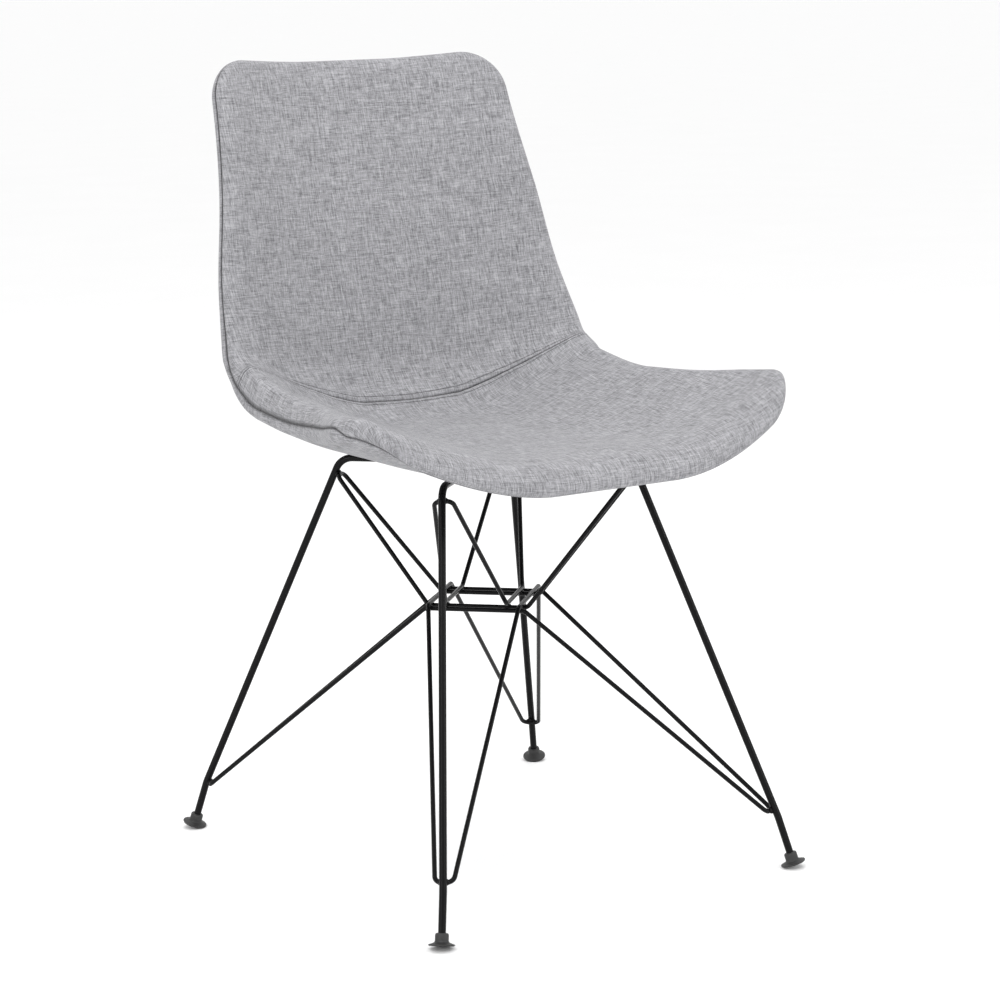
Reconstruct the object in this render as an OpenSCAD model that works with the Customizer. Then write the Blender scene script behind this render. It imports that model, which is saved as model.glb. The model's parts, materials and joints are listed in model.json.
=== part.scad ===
// Dining chair: an upholstered one-piece bucket shell on a welded rod base.
// Millimetres. Z is up and the chair faces -Y, so X+ is the sitter's left.
// Origin: on the floor, below the middle of the whole chair.

/* [What to build] */
// one node, or all of them

/* [Upholstered shell] */
// height of the flat underside of the seat above the floor
seat_underside_z = 446; // [400:1:500]
// total thickness of shell, foam and covers
pad_thickness = 24; // [18:1:34]
// thickness of the fabric covers
cover_thickness = 1.6; // [1:0.1:3]
// half width of the seat near the front corners
seat_front_half = 268; // [215:1:325]
// half width of the seat at its waist
seat_waist_half = 223; // [176:1:270]
// half width where the back rises from the seat
back_low_half = 228; // [190:1:275]
// half width at the top of the back
back_top_half = 188; // [159:1:230]
// height of the seat's sides above its middle
seat_dish = 58; // [40:1:75]
// how much deeper the sides of the seat are underneath, as a share of half the thickness
side_fill = 1.4; // [0:0.1:1.5]
// how far the sides of the back come forward of its middle
back_wrap = 36; // [24:1:50]
// length of the flat part of the seat ahead of the mounting
flat_front = 70; // [60:1:100]
// length of the flat part of the seat behind the mounting
flat_rear = 86; // [60:1:110]
// length of the gentle rise towards the front edge
front_rise_length = 155; // [120:1:190]
// how steep the front rise becomes, in degrees
front_rise_angle = 4; // [0:0.5:10]
// radius of the rolled front edge
lip_radius = 30; // [22:1:45]
// how far the front edge rolls down, in degrees
lip_turn = 74; // [50:1:90]
// how far the middle of the front edge bows ahead of its ends
front_bow = 38; // [10:1:60]
// radius between seat and back
bend_radius = 110; // [80:1:150]
// tilt of the back from upright, in degrees
back_tilt = 14.7; // [8:0.1:25]
// length of the back above the bend
back_length = 332; // [275:1:400]
// plan radius of the front corners
front_corner_radius = 49; // [40:1:110]
// radius of the two top corners
top_corner_radius = 48; // [15:1:60]
// distance of the cross seam from the mounting, along the middle
seam_distance = 152; // [120:1:180]
// how much further up the cross seam runs at the sides
seam_rise = 27; // [0:1:60]
// distance of the outer cover's cross seam from the mounting, along the middle
outer_seam_distance = 100; // [86:1:120]

/* [Rod base] */
// leg rod diameter
leg_d = 8; // [6:0.5:12]
// brace rod diameter
brace_d = 5; // [4:0.5:8]
// half distance between the front feet
foot_front_x = 225; // [188:1:270]
// half distance between the rear feet
foot_rear_x = 235; // [195:1:282]
// distance of the front feet ahead of the base centre
foot_front_y = 261; // [218:1:313]
// distance of the rear feet behind the base centre
foot_rear_y = 261; // [218:1:313]
// distance of the middle of the base behind the origin
base_shift_y = -6; // [-20:1:20]
// height of the small bend low on each leg
knee_z = 55; // [40:1:80]
// how far the knee stands inside the foot
knee_inset = 18; // [8:1:24]
// bend radius of the knee
knee_radius = 60; // [40:1:80]
// half spacing of the front leg tops, across
shoulder_front_x = 121; // [90:1:140]
// half spacing of the rear leg tops, across
shoulder_rear_x = 111; // [90:1:140]
// half spacing of the leg tops, front to back
shoulder_y = 113; // [90:1:140]
// bend radius at the top of each leg
shoulder_radius = 20; // [12:1:30]
// how far below the leg tops the upper braces meet the front legs
upper_weld_front_drop = 12; // [12:1:50]
// how far below the leg tops the upper braces meet the rear legs
upper_weld_rear_drop = 16; // [12:1:50]
// how far above the knees the lower braces meet the front legs
lower_weld_front_rise = 9; // [0:1:30]
// how far above the knees the lower braces meet the rear legs
lower_weld_rear_rise = 1; // [0:1:30]
// height of the crossing rods in the middle of the base
ring_z = 281; // [237:1:341]
// half distance between the inner crossing rods
ring_inner = 34; // [28:1:44]
// half distance between the outer crossing rods
ring_outer = 50; // [44:1:66]

/* [Feet and fixings] */
// diameter of the foot discs
glide_disc_d = 27; // [20:1:36]
// diameter of the foot collars
glide_collar_d = 14; // [11:0.5:20]
// side of the square mounting plate
plate_side = 116; // [100:1:140]
// distance of the four mounting screws from the plate's middle
screw_radius = 44; // [38:1:52]

/* [Hidden] */
$fn = 48;

steel_colour = [0.10, 0.10, 0.11];
plastic_colour = [0.05, 0.05, 0.05];
zinc_colour = [0.62, 0.63, 0.65];
shell_colour = [0.30, 0.30, 0.31];
foam_colour = [0.85, 0.82, 0.70];
fabric_colour = [0.62, 0.63, 0.65];

plate_thickness = 3;
pad_gap = 3;
rod_run_z = seat_underside_z - pad_gap - plate_thickness - leg_d / 2;
pad_half = pad_thickness / 2;
shell_mid_z = seat_underside_z + pad_half;

// ---------- small maths ----------
function unit(v) = v / norm(v);
function blend(a, b, f) = a + (b - a) * f;
function smooth(f) = f <= 0 ? 0 : f >= 1 ? 1 : f * f * (3 - 2 * f);

// Slope at entry i of a table of [position, value] pairs.
function slope_at(table, i) =
    i == 0 || i == len(table) - 1 ? 0
    : (table[i + 1][1] - table[i - 1][1]) / (table[i + 1][0] - table[i - 1][0]);

// Smooth curve through a table of [position, value] pairs.
function curve_at(table, x, i = 0) =
    x <= table[0][0] ? table[0][1]
    : i == len(table) - 1 ? table[i][1]
    : x > table[i + 1][0] ? curve_at(table, x, i + 1)
    : let (gap = table[i + 1][0] - table[i][0],
           f = (x - table[i][0]) / gap,
           a = slope_at(table, i) * gap,
           b = slope_at(table, i + 1) * gap)
      (2 * pow(f, 3) - 3 * f * f + 1) * table[i][1] + (pow(f, 3) - 2 * f * f + f) * a
      + (3 * f * f - 2 * pow(f, 3)) * table[i + 1][1] + (pow(f, 3) - f * f) * b;

// ---------- bent rods ----------
// A bend is a hair thicker than the straight rod, and the rod ends just inside it, so that
// the two join into one solid.
bend_growth = 0.04;
bend_overlap = 0.3;

// Straight round bar from one point to another.
module bar(from, to, diameter) {
    along = to - from;
    tilt = acos(along[2] / norm(along));
    turn = atan2(along[1], along[0]);
    translate(from)
        rotate([0, tilt, turn])
            cylinder(h = norm(along), d = diameter);
}

// Distance from a corner to where its bend starts.
function bend_setback(before, corner, after, radius) =
    let (turn = 180 - acos(unit(before - corner) * unit(after - corner)))
    radius * tan(turn / 2);

// Round bend at a corner, between two straight bars.
module bend(before, corner, after, radius, diameter) {
    back = unit(before - corner);
    ahead = unit(after - corner);
    turn = 180 - acos(back * ahead);
    axis = unit(cross(-back, ahead));
    centre = corner + unit(back + ahead) * radius / cos(turn / 2);
    start = unit(corner + back * radius * tan(turn / 2) - centre);
    tilt = acos(axis[2]);
    swing = atan2(axis[1], axis[0]);
    across = [cos(tilt) * cos(swing), cos(tilt) * sin(swing), -sin(tilt)];
    other = [-sin(swing), cos(swing), 0];
    translate(centre)
        rotate([0, tilt, swing])
            rotate([0, 0, atan2(start * other, start * across)])
                rotate_extrude(angle = turn)
                    translate([radius, 0])
                        circle(d = diameter + bend_growth);
}

// Rod through a list of corners, each rounded to its own radius. A closed rod joins its ends.
module bent_rod(corners, radii, diameter, closed = false) {
    count = len(corners);
    last = closed ? count - 1 : count - 2;
    union() {
        for (i = [0:last]) {
            a = corners[i];
            b = corners[(i + 1) % count];
            before = corners[(i + count - 1) % count];
            after = corners[(i + 2) % count];
            next = (i + 1) % count;
            start = (closed || i > 0) ? bend_setback(before, a, b, radii[i]) - bend_overlap : 0;
            end = (closed || i < last) ? bend_setback(a, b, after, radii[next]) - bend_overlap : 0;
            bar(a + unit(b - a) * start, b - unit(b - a) * end, diameter);
            if (closed || i < last)
                bend(a, b, after, radii[next], diameter);
        }
    }
}

// ---------- legs ----------
// Each leg is named by its side: side_x is +1 on the sitter's left, side_y is -1 at the front.
function foot_at(side_x, side_y) =
    [side_x * (side_y < 0 ? foot_front_x : foot_rear_x),
     base_shift_y + side_y * (side_y < 0 ? foot_front_y : foot_rear_y), 0];
function outward(side_x, side_y) =
    let (foot = foot_at(side_x, side_y)) unit([foot[0], foot[1] - base_shift_y, 0]);
function knee_at(side_x, side_y) =
    foot_at(side_x, side_y) - outward(side_x, side_y) * knee_inset + [0, 0, knee_z];
function shoulder_at(side_x, side_y) =
    [side_x * (side_y < 0 ? shoulder_front_x : shoulder_rear_x), base_shift_y + side_y * shoulder_y, rod_run_z];
// The rod's top end runs in under the plate, to this share of the plate's side from the middle.
leg_end_share = 0.3;
function leg_end_at(side_x, side_y) =
    [side_x * plate_side * leg_end_share, base_shift_y + side_y * plate_side * leg_end_share,
     rod_run_z];

// Lower leg segment: its direction, and the point where the rod ends inside the glide.
glide_disc_thickness = 2.6;
glide_disc_edge = 0.8;
glide_chamfer = 0.6;
glide_skirt = 3.2;
glide_neck_z = 3.8;
glide_neck_top_z = 5.4;
glide_height = 13;
glide_lip = 2;
glide_floor = 4;
function shin_axis(side_x, side_y) = unit(knee_at(side_x, side_y) - foot_at(side_x, side_y));
// The glide is square to the leg, so its inner edge is the part that touches the floor.
function glide_base(side_x, side_y) =
    let (axis = shin_axis(side_x, side_y),
         lift = (glide_disc_d / 2 - glide_chamfer) * norm([axis[0], axis[1]]))
    foot_at(side_x, side_y) + axis * (lift / axis[2]);
function rod_end(side_x, side_y) =
    glide_base(side_x, side_y) + shin_axis(side_x, side_y) * glide_floor;

module leg(side_x, side_y) {
    color(steel_colour)
        bent_rod([rod_end(side_x, side_y), knee_at(side_x, side_y),
                  shoulder_at(side_x, side_y), leg_end_at(side_x, side_y)],
                 [0, knee_radius, shoulder_radius, 0], leg_d);
}

module glide(side_x, side_y) {
    axis = shin_axis(side_x, side_y);
    disc = glide_disc_d / 2;
    collar = glide_collar_d / 2;
    color(plastic_colour)
        translate(glide_base(side_x, side_y))
            rotate([0, acos(axis[2]), atan2(axis[1], axis[0])])
                difference() {
                    rotate_extrude()
                        polygon([[0, 0], [disc - glide_chamfer, 0],
                                 [disc, glide_disc_edge], [disc, 2 * glide_disc_edge],
                                 [collar + glide_skirt, glide_disc_thickness],
                                 [collar + glide_chamfer, glide_neck_z],
                                 [collar, glide_neck_top_z], [collar, glide_height - glide_lip],
                                 [collar - glide_chamfer, glide_height - glide_chamfer],
                                 [collar - glide_lip, glide_height], [0, glide_height]]);
                    translate([0, 0, glide_floor])
                        cylinder(h = glide_height, d = leg_d);
                }
}

// ---------- braces ----------
// A brace is one closed loop of thin rod. It folds round the inside of two opposite legs and
// runs through the middle of the base as two parallel crossing rods.
hairpin_half = 9.5;
hairpin_radius = 8;
ring_bend_radius = 9;

// Point on a leg's centre line at a given height, between knee and shoulder.
function on_leg(side_x, side_y, z) =
    let (knee = knee_at(side_x, side_y), top = shoulder_at(side_x, side_y))
    blend(knee, top, (z - knee[2]) / (top[2] - knee[2]));

// The two corners of the fold that is welded to the inside of a leg.
function hairpin(side_x, side_y, z) =
    let (out = outward(side_x, side_y),
         leg_axis = unit(shoulder_at(side_x, side_y) - knee_at(side_x, side_y)),
         inward = unit(-out + leg_axis * (out * leg_axis)),
         across = unit(cross(inward, leg_axis)),
         middle = on_leg(side_x, side_y, z) + inward * (leg_d + brace_d) / 2)
    [middle - across * hairpin_half, middle + across * hairpin_half];

// side is +1 for the loops on the front right and rear left legs, -1 for the other pair.
module brace(side, front_weld_z, rear_weld_z, half_gap, half_length, z) {
    run = unit([side, 1, 0]);
    gap = cross([0, 0, 1], run);
    centre = [0, base_shift_y, z];
    front = hairpin(-side, -1, front_weld_z);
    rear = hairpin(side, 1, rear_weld_z);
    color(steel_colour)
        bent_rod([front[1], front[0],
                  centre - run * half_length + gap * half_gap,
                  centre + run * half_length + gap * half_gap,
                  rear[1], rear[0],
                  centre + run * half_length - gap * half_gap,
                  centre - run * half_length - gap * half_gap],
                 [hairpin_radius, hairpin_radius, ring_bend_radius, ring_bend_radius,
                  hairpin_radius, hairpin_radius, ring_bend_radius, ring_bend_radius],
                 brace_d, closed = true);
}

// storey is 0 for the loops that cross below and 1 for those that lie on top of them.
module upper_brace(side, storey) {
    reach = storey == 0 ? ring_outer + brace_d : ring_inner + brace_d * 1.5;
    brace(side, rod_run_z - upper_weld_front_drop, rod_run_z - upper_weld_rear_drop,
          ring_inner, reach, ring_z + storey * brace_d);
}

module lower_brace(side, storey) {
    brace(side, knee_z + lower_weld_front_rise, knee_z + lower_weld_rear_rise,
          ring_outer, ring_outer + brace_d, ring_z + storey * brace_d);
}

// ---------- mounting ----------
screw_d = 6;
screw_head_d = 11;
screw_head_height = 3.3;
washer_d = 14;
washer_thickness = 1.5;
nut_barrel_d = 9;
nut_flange_d = 18;
nut_flange_thickness = 1.5;
screw_hole_d = 6.6;
screw_socket_d = 4.6;
screw_socket_depth = 2.2;
plate_corner = 14;
plate_z = rod_run_z + leg_d / 2;
shell_thickness = 9;
core_half = pad_half - cover_thickness;
shell_face = shell_thickness - core_half;
nut_z = shell_mid_z + shell_face;

module at_screws() {
    for (turn = [0:90:270])
        translate([screw_radius * cos(turn), base_shift_y + screw_radius * sin(turn), 0])
            children();
}

module rounded_plate(side, thickness, corner) {
    linear_extrude(height = thickness)
        union() {
            square([side - 2 * corner, side], center = true);
            square([side, side - 2 * corner], center = true);
            for (x = [-1, 1])
                for (y = [-1, 1])
                    translate([x, y] * (side / 2 - corner))
                        circle(r = corner);
        }
}

module mounting_plate() {
    color(steel_colour)
        difference() {
            translate([0, base_shift_y, plate_z])
                rounded_plate(plate_side, plate_thickness, plate_corner);
            at_screws()
                translate([0, 0, plate_z - 1])
                    cylinder(h = plate_thickness + 2, d = screw_hole_d);
        }
}

module mount_pad() {
    color(plastic_colour)
        difference() {
            translate([0, base_shift_y, plate_z + plate_thickness])
                rounded_plate(plate_side, pad_gap, plate_corner);
            at_screws()
                translate([0, 0, plate_z + plate_thickness - 1])
                    cylinder(h = pad_gap + 2, d = screw_hole_d);
        }
}

module plate_washers() {
    color(zinc_colour)
        at_screws()
            translate([0, 0, plate_z - washer_thickness])
                difference() {
                    cylinder(h = washer_thickness, d = washer_d);
                    translate([0, 0, -1])
                        cylinder(h = washer_thickness + 2, d = screw_hole_d);
                }
}

module plate_screws() {
    head_z = plate_z - washer_thickness - screw_head_height;
    color(zinc_colour)
        at_screws()
            difference() {
                union() {
                    translate([0, 0, head_z])
                        cylinder(h = screw_head_height, d = screw_head_d);
                    translate([0, 0, head_z + screw_head_height])
                        cylinder(h = nut_z + nut_flange_thickness - head_z - screw_head_height,
                                 d = screw_d);
                }
                translate([0, 0, head_z - 1])
                    cylinder(h = screw_socket_depth + 1, d = screw_socket_d, $fn = 6);
            }
}

module t_nuts() {
    color(zinc_colour)
        at_screws()
            difference() {
                union() {
                    translate([0, 0, seat_underside_z + cover_thickness])
                        cylinder(h = shell_thickness, d = nut_barrel_d);
                    translate([0, 0, nut_z])
                        cylinder(h = nut_flange_thickness, d = nut_flange_d);
                }
                translate([0, 0, seat_underside_z])
                    cylinder(h = pad_thickness, d = screw_d);
            }
}

// ---------- shell ----------
// The shell is one curved middle surface. Every layer of it, from the outer cover underneath
// to the covers on top, is drawn between two faces that follow that surface.
// Distances along the middle start at the mounting: plus runs to the back, minus to the front.
bend_turn = 90 - back_tilt;
bend_length = bend_radius * bend_turn * PI / 180;
lip_length = lip_radius * (lip_turn + front_rise_angle) * PI / 180;
rear_path = [[flat_rear, 0], [bend_length, bend_turn], [back_length, 0]];
front_path = [[flat_front, 0], [front_rise_length, front_rise_angle],
              [lip_length, -lip_turn - front_rise_angle]];
back_start = flat_rear + bend_length;
back_end = back_start + back_length;
lip_start = -flat_front - front_rise_length;
front_end = lip_start - lip_length;

// Share of the half width that stays flat before the sides start to rise. At the mounting that
// is a little more than the plate.
flat_margin = 4.4;
flat_share = (plate_side / 2 + flat_margin) / seat_waist_half;
// How fast the sides rise after that, and how much more sharply they do so at the front.
rise_power = 1.4;
front_rise_power = 1.78;
// How fast the cross seam runs up at the sides.
seam_power = 1.5;

// Step along a line or an arc. Gives [forward, up, heading].
function step_along(from, length, turn) =
    abs(turn) < 0.001
    ? [from[0] + length * cos(from[2]), from[1] + length * sin(from[2]), from[2]]
    : let (radius = length / (turn * PI / 180))
      [from[0] + radius * (sin(from[2] + turn) - sin(from[2])),
       from[1] - radius * (cos(from[2] + turn) - cos(from[2])), from[2] + turn];

function walk(path, distance, from = [0, 0, 0], i = 0) =
    let (length = path[i][0], turn = path[i][1])
    distance <= length || i == len(path) - 1
    ? step_along(from, distance, turn * distance / length)
    : walk(path, distance - length, step_along(from, length, turn), i + 1);

// Point on the middle line, as [y, z, heading].
function middle_at(s) =
    s >= 0
    ? let (p = walk(rear_path, s)) [base_shift_y + p[0], shell_mid_z + p[1], p[2]]
    : let (p = walk(front_path, -s)) [base_shift_y - p[0], shell_mid_z + p[1], -p[2]];

function half_width(s) =
    curve_at([[front_end, seat_front_half * 0.99], [lip_start * 0.8, seat_front_half],
              [0, seat_waist_half], [back_start * 0.85, back_low_half * 0.99],
              [back_start * 1.05, back_low_half], [back_end, back_top_half]], s);

// The same, narrowed by the rounded corners at both ends.
function corner_cut(distance, radius) =
    distance >= radius ? 0
    : radius - sqrt(max(0, radius * radius - pow(radius - distance, 2)));
function outline_half(s) =
    half_width(s) - corner_cut(s - front_end, front_corner_radius)
    - corner_cut(back_end - s, top_corner_radius);

// How far the sides stand off the middle line.
function side_lift(s) =
    curve_at([[front_end, seat_dish * 1.1], [lip_start * 0.8, seat_dish * 1.09],
              [0, seat_dish], [back_start * 0.6, seat_dish * 1.27],
              [back_start * 1.3, back_wrap * 1.14], [back_start * 1.75, back_wrap * 1.2],
              [back_end, back_wrap]], s);

function side_rise(s, x) =
    let (share = abs(x) / half_width(s),
         power = blend(rise_power, front_rise_power, smooth((-s - flat_front) / front_rise_length)))
    share <= flat_share ? 0 : pow((share - flat_share) / (1 - flat_share), power);

// How much the underside is filled out below the raised sides of the seat.
function fill_at(s, x) =
    let (share = abs(x) / half_width(s),
         along = curve_at([[front_end, 0], [lip_start * 0.9, 0.25], [0, 1],
                           [back_start * 0.6, 1.2], [back_start * 1.3, 0], [back_end, 0]], s))
    1 + side_fill * along * smooth((share - flat_share) / (0.85 - flat_share));

// Point on the middle surface, x millimetres from the centre plane.
function shell_point(s, x) =
    let (p = middle_at(s),
         rise = side_rise(s, x),
         heading = s < lip_start ? -front_rise_angle : p[2],
         lift = side_lift(s) * rise,
         bow = front_bow * rise * smooth((-s - flat_front) / front_rise_length))
    [x, p[0] + bow - lift * sin(heading), p[1] + lift * cos(heading)];

function shell_normal(s, x) =
    unit(cross(shell_point(s, x + 0.5) - shell_point(s, x - 0.5),
               shell_point(s + 0.5, x) - shell_point(s - 0.5, x)));

// Rounded rim, as [distance in from the edge, share of the full height] pairs.
edge_steps = 4;
edge_least = 0.06;
function edge_row(inset, k) =
    let (turn = 90 * k / edge_steps)
    [inset + (pad_half - inset) * (1 - cos(turn)), max(edge_least, sin(turn))];

// Rows along the middle line: [share from the start, edge distance, height share, which end].
row_gap = 20;
inner_columns = 14;
function rows_between(start, end, inset, round_start, round_end) =
    let (count = ceil((end - start) / row_gap))
    concat(
        round_start ? [for (k = [0:edge_steps - 1]) [0, edge_row(inset, k)[0],
                                                     edge_row(inset, k)[1]]] : [],
        [for (k = [0:count]) [k / count, 0, 1]],
        round_end ? [for (k = [edge_steps - 1:-1:0]) [1, -edge_row(inset, k)[0],
                                                      edge_row(inset, k)[1]]] : []);

// Columns across: [share of the width between the rims, edge distance, height share].
function columns_across(inset) =
    concat(
        [for (k = [0:edge_steps - 1]) [-1, edge_row(inset, k)[0], edge_row(inset, k)[1]]],
        [for (k = [0:inner_columns]) [2 * k / inner_columns - 1, pad_half, 1]],
        [for (k = [edge_steps - 1:-1:0]) [1, edge_row(inset, k)[0], edge_row(inset, k)[1]]]);

// One face of a layer: a grid of points at a height over the middle surface.
// seam_at_start and seam_at_end say which end follows the curved cross seam.
function face_points(start, end, inset, height, seam_at_start, seam_at_end) =
    let (first = start + (seam_at_start ? 0 : pad_half),
         last = end - (seam_at_end ? 0 : pad_half))
    [for (row = rows_between(first, last, inset, !seam_at_start, !seam_at_end))
        for (column = columns_across(inset))
            let (in_edge = row[1] != 0,
                 straight = in_edge ? (row[0] == 0 ? start : end) + row[1]
                                    : blend(first, last, row[0]),
                 x = column[0] * (outline_half(straight) - column[1]),
                 sway = seam_rise * pow(abs(x) / back_low_half, seam_power),
                 share = seam_at_start ? 1 - row[0] : row[0],
                 s = straight + (in_edge || !(seam_at_start || seam_at_end) ? 0
                                 : sway * smooth(share * 2 - 1)))
            shell_point(s, x) + shell_normal(s, x) * height * row[2] * column[2]
            * (height > -core_half ? 1 : fill_at(s, x))];

// Closed solid between two faces with the same number of points. Its faces are listed from the
// seam, or from the top of the back: a reader takes the first one to tell inside from outside.
module between_faces(upper, lower, columns, seam_at_start) {
    rows = len(upper) / columns;
    row_order = seam_at_start ? [0:1:rows - 2] : [rows - 2:-1:0];
    size = len(upper);
    rim = concat([for (j = [0:columns - 1]) j],
                 [for (i = [1:rows - 1]) i * columns + columns - 1],
                 [for (j = [columns - 2:-1:0]) (rows - 1) * columns + j],
                 [for (i = [rows - 2:-1:1]) i * columns]);
    polyhedron(
        points = concat(upper, lower),
        faces = concat(
            [for (i = row_order)
                for (j = [0:columns - 2])
                    let (a = i * columns + j, b = a + 1, c = a + columns, d = c + 1)
                    each [[a, c, b], [b, c, d], [size + a, size + b, size + c],
                          [size + b, size + d, size + c]]],
            [for (k = [0:len(rim) - 1])
                let (a = rim[k], b = rim[(k + 1) % len(rim)])
                each [[a, b, size + a], [b, size + b, size + a]]]));
}

// Layer of the shell between two heights, each with its own inset from the rim.
module layer(start, end, inset_upper, upper, inset_lower, lower,
             seam_at_start = false, seam_at_end = false) {
    between_faces(face_points(start, end, inset_upper, upper, seam_at_start, seam_at_end),
                  face_points(start, end, inset_lower, lower, seam_at_start, seam_at_end),
                  len(columns_across(0)), seam_at_start);
}

module seat_cover() {
    color(fabric_colour)
        layer(front_end, seam_distance, 0, pad_half, cover_thickness, core_half,
              seam_at_end = true);
}

module back_cover() {
    color(fabric_colour)
        layer(seam_distance, back_end, 0, pad_half, cover_thickness, core_half,
              seam_at_start = true);
}

module nut_pockets() {
    at_screws()
        translate([0, 0, nut_z - 1])
            cylinder(h = nut_flange_thickness + 1, d = nut_flange_d);
}

module seat_foam() {
    color(foam_colour)
        difference() {
            layer(front_end, seam_distance, cover_thickness, core_half,
                  cover_thickness, shell_face, seam_at_end = true);
            nut_pockets();
        }
}

module back_foam() {
    color(foam_colour)
        layer(seam_distance, back_end, cover_thickness, core_half,
              cover_thickness, shell_face, seam_at_start = true);
}

module shell() {
    color(shell_colour)
        difference() {
            layer(front_end, back_end, cover_thickness, shell_face,
                  cover_thickness, -core_half);
            at_screws()
                translate([0, 0, seat_underside_z])
                    cylinder(h = pad_thickness, d = nut_barrel_d);
        }
}

module outer_seat_cover() {
    color(fabric_colour)
        difference() {
            layer(front_end, outer_seam_distance, cover_thickness, -core_half, 0, -pad_half,
                  seam_at_end = true);
            at_screws()
                translate([0, 0, seat_underside_z - 1])
                    cylinder(h = cover_thickness + 2, d = screw_hole_d);
        }
}

module outer_back_cover() {
    color(fabric_colour)
        layer(outer_seam_distance, back_end, cover_thickness, -core_half, 0, -pad_half,
              seam_at_start = true);
}

leg(1, -1);  // leg_front_left
leg(-1, -1);  // leg_front_right
leg(1, 1);  // leg_rear_left
leg(-1, 1);  // leg_rear_right
upper_brace(-1, 0);  // upper_brace_a
upper_brace(1, 1);  // upper_brace_b
lower_brace(-1, 0);  // lower_brace_a
lower_brace(1, 1);  // lower_brace_b
glide(1, -1);  // glide_front_left
glide(-1, -1);  // glide_front_right
glide(1, 1);  // glide_rear_left
glide(-1, 1);  // glide_rear_right
mounting_plate();
mount_pad();
plate_screws();
plate_washers();
t_nuts();
shell();
seat_foam();
back_foam();
seat_cover();
back_cover();
outer_seat_cover();
outer_back_cover();
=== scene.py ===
"""Looks of the dining chair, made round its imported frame.

Metres and radians. Z is up and the chair faces -Y, so X+ is the sitter's left. The chair's two
pads and its outer covers are drawn on the same curved middle surface as in the design: s runs
along the middle line from the mounting, plus to the back and minus to the front, and x runs
across.
"""

import json
import math

import bmesh
import bpy
import numpy as np
from mathutils import Euler, Matrix, Vector


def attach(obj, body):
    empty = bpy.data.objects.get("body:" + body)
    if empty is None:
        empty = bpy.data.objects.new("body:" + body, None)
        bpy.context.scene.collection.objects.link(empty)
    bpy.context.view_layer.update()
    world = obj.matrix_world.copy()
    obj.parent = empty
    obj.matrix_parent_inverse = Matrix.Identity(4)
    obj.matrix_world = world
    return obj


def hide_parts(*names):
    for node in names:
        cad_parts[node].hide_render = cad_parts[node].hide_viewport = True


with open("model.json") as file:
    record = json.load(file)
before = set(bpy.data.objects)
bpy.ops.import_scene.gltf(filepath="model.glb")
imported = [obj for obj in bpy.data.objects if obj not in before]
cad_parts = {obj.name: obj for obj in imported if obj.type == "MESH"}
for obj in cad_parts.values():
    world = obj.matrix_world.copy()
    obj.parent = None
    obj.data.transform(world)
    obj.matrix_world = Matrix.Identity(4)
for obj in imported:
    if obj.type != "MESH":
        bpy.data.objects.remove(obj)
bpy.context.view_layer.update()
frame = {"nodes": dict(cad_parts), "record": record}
BODY = "root"

# ---------- sizes that the design sets ----------
MM = 0.001
BASE_SHIFT_Y = -6 * MM
SEAT_UNDERSIDE = 446 * MM
PAD_HALF = 12 * MM
SEAT_FRONT_HALF = 268 * MM
SEAT_WAIST_HALF = 223 * MM
BACK_LOW_HALF = 228 * MM
BACK_TOP_HALF = 188 * MM
SEAT_DISH = 58 * MM
SIDE_FILL = 1.4
BACK_WRAP = 36 * MM
FLAT_FRONT = 70 * MM
FLAT_REAR = 86 * MM
FRONT_RISE_LENGTH = 155 * MM
FRONT_RISE_ANGLE = math.radians(4)
LIP_RADIUS = 30 * MM
LIP_TURN = math.radians(74) + FRONT_RISE_ANGLE
FRONT_BOW = 38 * MM
BEND_RADIUS = 110 * MM
BEND_TURN = math.radians(90 - 14.7)
BACK_LENGTH = 332 * MM
FRONT_CORNER_RADIUS = 49 * MM
TOP_CORNER_RADIUS = 48 * MM
SEAM_DISTANCE = 152 * MM
SEAM_RISE = 27 * MM
SEAM_POWER = 1.5
# Shares of the half width: the middle of the seat is flat, and past the second it is fully filled.
FLAT_SHARE = 0.28
FILLED_SHARE = 0.85
RISE_POWER = 1.4
FRONT_RISE_POWER = 1.78

BEND_LENGTH = BEND_RADIUS * BEND_TURN
LIP_LENGTH = LIP_RADIUS * LIP_TURN
REAR_PATH = [(FLAT_REAR, 0), (BEND_LENGTH, BEND_TURN), (BACK_LENGTH, 0)]
FRONT_PATH = [(FLAT_FRONT, 0), (FRONT_RISE_LENGTH, FRONT_RISE_ANGLE), (LIP_LENGTH, -LIP_TURN)]
BACK_START = FLAT_REAR + BEND_LENGTH
BACK_END = BACK_START + BACK_LENGTH
LIP_START = -FLAT_FRONT - FRONT_RISE_LENGTH
FRONT_END = LIP_START - LIP_LENGTH

# Values at places along the middle line, joined by smooth curves.
SEAT_WIDEST = LIP_START * 0.8
BEND_MIDDLE = BACK_START * 0.6
BACK_LOWEST = BACK_START * 1.3
HALF_WIDTHS = [(FRONT_END, SEAT_FRONT_HALF * 0.99), (SEAT_WIDEST, SEAT_FRONT_HALF),
               (0, SEAT_WAIST_HALF), (BACK_START * 0.85, BACK_LOW_HALF * 0.99),
               (BACK_START * 1.05, BACK_LOW_HALF), (BACK_END, BACK_TOP_HALF)]
SIDE_LIFTS = [(FRONT_END, SEAT_DISH * 1.1), (SEAT_WIDEST, SEAT_DISH * 1.09), (0, SEAT_DISH),
              (BEND_MIDDLE, SEAT_DISH * 1.27), (BACK_LOWEST, BACK_WRAP * 1.14),
              (BACK_START * 1.75, BACK_WRAP * 1.2), (BACK_END, BACK_WRAP)]
SIDE_FILLS = [(FRONT_END, 0), (LIP_START * 0.9, 0.25), (0, 1), (BEND_MIDDLE, 1.2),
              (BACK_LOWEST, 0), (BACK_END, 0)]


# ---------- small maths ----------
def smooth(share):
    share = np.clip(share, 0, 1)
    return share * share * (3 - 2 * share)


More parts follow.
